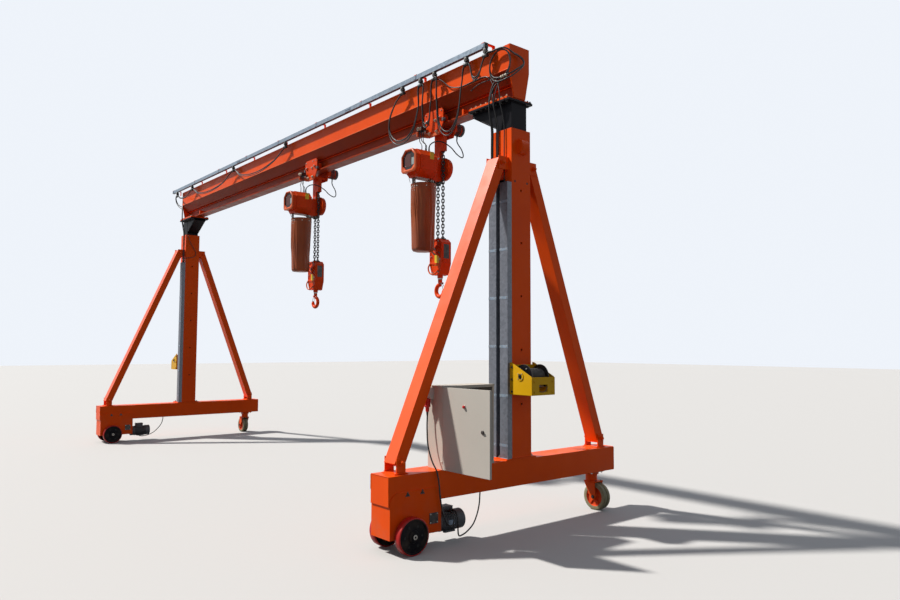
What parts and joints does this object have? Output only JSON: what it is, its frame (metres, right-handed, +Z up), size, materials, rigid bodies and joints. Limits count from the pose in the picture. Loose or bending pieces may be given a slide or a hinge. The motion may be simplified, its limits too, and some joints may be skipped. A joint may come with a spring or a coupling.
{
  "type": "gantry crane",
  "caption": "Height-adjustable portal crane on wheels: box girder on telescopic braced masts, with two travelling electric chain hoists.",
  "frame": {"origin": "on the floor, at the middle of the crane's own box, between the two legs", "axes": "+X along the girder towards the leg with the control cabinet, +Y along the base beams from the drive wheels to the casters, +Z up"},
  "size_m": [9.636, 2.855, 4.608],
  "materials": {
    "black_paint": "satin black paint",
    "cable_rubber": "smooth jacket",
    "canvas": "coated canvas",
    "caster_tyre": "polyurethane",
    "chain_steel": "black oxide",
    "drive_tyre": "polyurethane",
    "galvanised": "zinc coated",
    "grey_paint": "textured powder coat",
    "motor_grey": "hammered paint",
    "orange_paint": "satin paint, dusty",
    "red_plastic": "moulded",
    "yellow_paint": "gloss paint"
  },
  "bodies": {
    "near_leg": {"near_base_beam": "orange_paint", "near_drive_box": "orange_paint", "near_drive_motor": "motor_grey", "near_outer_mast": "orange_paint", "near_braces": "orange_paint", "near_ducts": "galvanised", "near_winch_frame": "yellow_paint", "control_cabinet": "grey_paint", "cabinet_panel": "grey_paint", "power_inlet": "red_plastic", "power_lead": "cable_rubber", "motor_cable": "cable_rubber"},
    "girder": {"girder_box": "orange_paint", "runway_beam": "orange_paint", "girder_plates": "orange_paint", "near_inner_mast": "black_paint", "far_inner_mast": "black_paint", "cable_rail": "galvanised", "rail_arms": "orange_paint", "rail_carriers": "black_paint", "trolley_stops": "orange_paint", "near_festoon": "cable_rubber", "near_head_cable": "cable_rubber", "far_festoon": "cable_rubber"},
    "far_leg": {"far_base_beam": "orange_paint", "far_drive_box": "orange_paint", "far_drive_motor": "motor_grey", "far_outer_mast": "orange_paint", "far_braces": "orange_paint", "far_duct": "galvanised", "far_winch_frame": "yellow_paint", "far_motor_cable": "cable_rubber", "far_collar_cable": "cable_rubber"},
    "cabinet_door": {"cabinet_door": "grey_paint"},
    "near_drive_wheels": {"near_drive_wheels": "drive_tyre"},
    "near_winch_drum": {"near_winch_drum": "black_paint"},
    "near_caster_fork": {"near_caster_fork": "orange_paint"},
    "near_caster_wheel": {"near_caster_wheel": "caster_tyre"},
    "far_drive_wheels": {"far_drive_wheels": "drive_tyre"},
    "far_winch_drum": {"far_winch_drum": "black_paint"},
    "far_caster_fork": {"far_caster_fork": "orange_paint"},
    "far_caster_wheel": {"far_caster_wheel": "caster_tyre"},
    "near_hoist": {"near_trolley": "orange_paint", "near_hoist_body": "orange_paint", "near_chain_bag": "canvas", "near_load_chain": "chain_steel", "near_hook_block": "orange_paint", "near_hoist_cable": "cable_rubber"},
    "near_hook": {"near_hook": "orange_paint"},
    "far_hoist": {"far_trolley": "orange_paint", "far_hoist_body": "orange_paint", "far_chain_bag": "canvas", "far_load_chain": "chain_steel", "far_hook_block": "orange_paint", "far_hoist_cable": "cable_rubber"},
    "far_hook": {"far_hook": "orange_paint"}
  },
  "joints": [
    {"name": "mast_lift", "type": "slide", "parent": "near_leg", "child": "girder", "axis": [0, 0, 1], "range_m": [0, 1.5]},
    {"name": "far_mast_slide", "type": "slide", "parent": "girder", "child": "far_leg", "axis": [0, 0, 1], "range_m": [-1.5, 0]},
    {"name": "door_hinge", "type": "hinge", "parent": "near_leg", "child": "cabinet_door", "pos_m": [4.234, -0.8845, 0.97], "axis": [0, 0, 1], "range_deg": [-25, 90]},
    {"name": "near_drive", "type": "hinge", "parent": "near_leg", "child": "near_drive_wheels", "pos_m": [4.097, -1.2325, 0.15], "axis": [1, 0, 0], "continuous": true},
    {"name": "near_winch", "type": "hinge", "parent": "near_leg", "child": "near_winch_drum", "pos_m": [4.352, 0.0675, 1.39], "axis": [0, 1, 0], "continuous": true},
    {"name": "near_caster_swivel", "type": "hinge", "parent": "near_leg", "child": "near_caster_fork", "pos_m": [4.097, 1.2175, 0.3], "axis": [0, 0, 1], "continuous": true},
    {"name": "near_caster_roll", "type": "hinge", "parent": "near_caster_fork", "child": "near_caster_wheel", "pos_m": [4.167, 1.2175, 0.135], "axis": [0, -1, 0], "continuous": true},
    {"name": "far_drive", "type": "hinge", "parent": "far_leg", "child": "far_drive_wheels", "pos_m": [-4.403, -1.2325, 0.15], "axis": [1, 0, 0], "continuous": true},
    {"name": "far_winch", "type": "hinge", "parent": "far_leg", "child": "far_winch_drum", "pos_m": [-4.658, 0.0675, 1.39], "axis": [0, 1, 0], "continuous": true},
    {"name": "far_caster_swivel", "type": "hinge", "parent": "far_leg", "child": "far_caster_fork", "pos_m": [-4.403, 1.2175, 0.3], "axis": [0, 0, 1], "continuous": true},
    {"name": "far_caster_roll", "type": "hinge", "parent": "far_caster_fork", "child": "far_caster_wheel", "pos_m": [-4.473, 1.2175, 0.135], "axis": [0, -1, 0], "continuous": true},
    {"name": "near_travel", "type": "slide", "parent": "girder", "child": "near_hoist", "axis": [1, 0, 0], "range_m": [-1.27, 0.25]},
    {"name": "near_hook_swivel", "type": "hinge", "parent": "near_hoist", "child": "near_hook", "pos_m": [3.017, 0.0675, 2.39], "axis": [0, 0, 1], "continuous": true},
    {"name": "far_travel", "type": "slide", "parent": "girder", "child": "far_hoist", "axis": [1, 0, 0], "range_m": [-3.9, 1]},
    {"name": "far_hook_swivel", "type": "hinge", "parent": "far_hoist", "child": "far_hook", "pos_m": [0.347, 0.0675, 2.39], "axis": [0, 0, 1], "continuous": true}
  ],
  "couplings": [
    {"joint": "far_mast_slide", "follows": "mast_lift", "ratio": -1}
  ]
}
